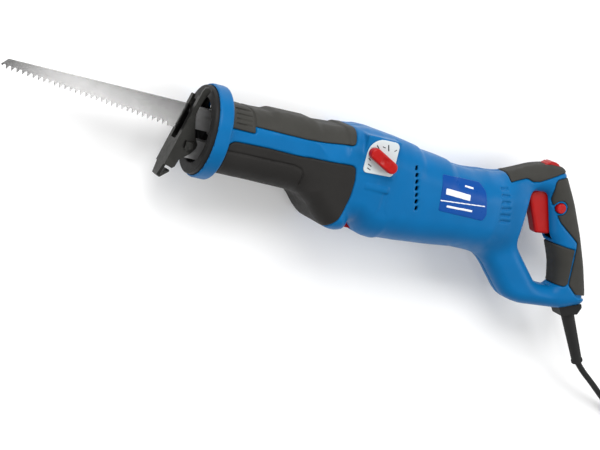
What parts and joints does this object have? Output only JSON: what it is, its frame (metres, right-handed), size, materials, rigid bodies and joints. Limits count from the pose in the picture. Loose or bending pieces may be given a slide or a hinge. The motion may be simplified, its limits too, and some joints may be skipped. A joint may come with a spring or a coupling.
{
  "type": "reciprocating saw",
  "caption": "Corded reciprocating saw: long motor body, rubber-clad nose with collar and pivoting shoe, tapered coarse-tooth blade, D handle with trigger, mains cord with plug.",
  "frame": {"origin": "middle of the footprint of the saw without its cord, on the surface that its right side rests on", "axes": "+X from the blade to the handle, +Y towards the saw's top, +Z out of its left side, up as it lies"},
  "size_m": [0.8335, 0.2687, 0.0974],
  "materials": {
    "blue_housing": "satin moulded nylon, fine spark texture",
    "grey_softgrip": "matt soft-grip overmould",
    "black_softgrip": "matt soft-grip overmould",
    "black_plastic": "satin black nylon",
    "red_plastic": "semi-gloss red",
    "white_plastic": "satin light grey",
    "label_film": "dark blue printed film, plain bars only",
    "blade_steel": "ground satin",
    "steel": "ground and bright",
    "blackened_steel": "black phosphated pressed steel",
    "cast_aluminium": "die-cast, as cast",
    "bronze": "sintered oil bronze",
    "lamination": "stacked electrical sheet",
    "copper": "enamelled copper",
    "carbon": "pressed carbon",
    "black_rubber": "moulded rubber",
    "cord_rubber": "matt rubber sheath",
    "plated_pin": "nickel-plated brass"
  },
  "bodies": {
    "housing": {"housing_left": "blue_housing", "housing_right": "blue_housing", "nose_top_pad": "grey_softgrip", "nose_boot": "black_softgrip", "handle_top_pad": "grey_softgrip", "handle_back_pad": "grey_softgrip", "grip_pad": "grey_softgrip", "housing_screws": "blackened_steel", "collar_liner": "black_plastic", "label_plate": "label_film", "dial_plate": "white_plastic", "gear_case": "cast_aluminium", "gear_case_cover": "cast_aluminium", "cover_screws": "steel", "plunger_seal": "black_rubber", "plunger_front_bush": "bronze", "plunger_rear_bush": "bronze", "crank_bearings": "steel", "motor_bearings": "steel", "motor_stator": "lamination", "field_coils": "copper", "carbon_brushes": "carbon", "brush_holders": "bronze", "suppression_capacitor": "white_plastic", "trigger_pin": "steel", "switch_module": "black_plastic", "handle_end_cap": "black_plastic", "strain_relief": "black_rubber", "cord_clamp": "black_plastic", "cord_tube": "cord_rubber", "cord_tail": "cord_rubber", "cord_coil": "cord_rubber", "cord_tie": "black_plastic", "plug_body": "black_rubber", "plug_pins": "plated_pin"},
    "armature": {"motor_shaft": "steel", "motor_pinion": "steel", "armature_core": "lamination", "armature_windings": "copper", "commutator": "copper", "cooling_fan": "black_plastic"},
    "crank": {"crank_gear": "steel", "crank_pin": "steel", "crank_roller": "steel", "counterweight": "lamination"},
    "plunger": {"plunger": "steel", "blade": "blade_steel", "blade_pin": "steel", "clamp_retaining_ring": "steel", "clamp_spring": "steel"},
    "clamp": {"clamp_sleeve": "black_plastic"},
    "carrier": {"shoe_carrier": "steel"},
    "shoe": {"shoe": "blackened_steel", "shoe_pivot_bolt": "blackened_steel"},
    "trigger": {"trigger": "red_plastic"},
    "lock_on_button": {"lock_on_button": "red_plastic"},
    "speed_wheel": {"speed_wheel": "red_plastic"},
    "orbital_dial": {"orbital_dial": "red_plastic"},
    "shoe_lock_button": {"shoe_lock_button": "red_plastic"}
  },
  "joints": [
    {"name": "motor_spin", "type": "hinge", "parent": "housing", "child": "armature", "pos_m": [0.0735, 0.009, 0.0435], "axis": [1, 0, 0], "continuous": true},
    {"name": "crank_spin", "type": "hinge", "parent": "housing", "child": "crank", "pos_m": [0.0155, 0.009, 0.0435], "axis": [0, 0, 1], "continuous": true},
    {"name": "plunger_stroke", "type": "slide", "parent": "housing", "child": "plunger", "axis": [1, 0, 0], "range_m": [0, 0.028]},
    {"name": "clamp_twist", "type": "hinge", "parent": "plunger", "child": "clamp", "pos_m": [-0.111, 0.033, 0.0435], "axis": [1, 0, 0], "range_deg": [0, 60], "stiffness_Nm_per_rad": 0.2},
    {"name": "shoe_depth", "type": "slide", "parent": "housing", "child": "carrier", "axis": [-1, 0, 0], "range_m": [0, 0.028]},
    {"name": "shoe_pivot", "type": "hinge", "parent": "carrier", "child": "shoe", "pos_m": [-0.1385, 0.008, 0.0435], "axis": [0, 0, 1], "range_deg": [-0.5, 25]},
    {"name": "trigger_pull", "type": "hinge", "parent": "housing", "child": "trigger", "pos_m": [0.2445, 0.044, 0.0435], "axis": [0, 0, 1], "range_deg": [0, 7], "stiffness_Nm_per_rad": 1.5},
    {"name": "lock_on_press", "type": "slide", "parent": "housing", "child": "lock_on_button", "axis": [0, 0, -1], "range_m": [0, 0.003], "stiffness_N_per_m": 600},
    {"name": "speed_wheel_turn", "type": "hinge", "parent": "housing", "child": "speed_wheel", "pos_m": [0.24, 0.064, 0.0435], "axis": [0, 0, 1], "range_deg": [0, 240]},
    {"name": "orbital_dial_turn", "type": "hinge", "parent": "housing", "child": "orbital_dial", "pos_m": [0.038, 0.0385, 0.0435], "axis": [0, 0, 1], "range_deg": [0, 90]},
    {"name": "shoe_lock_press", "type": "slide", "parent": "housing", "child": "shoe_lock_button", "axis": [0, 1, 0], "range_m": [0, 0.0018], "stiffness_N_per_m": 800}
  ],
  "couplings": [
    {"joint": "crank_spin", "follows": "motor_spin", "ratio": 0.33333}
  ]
}
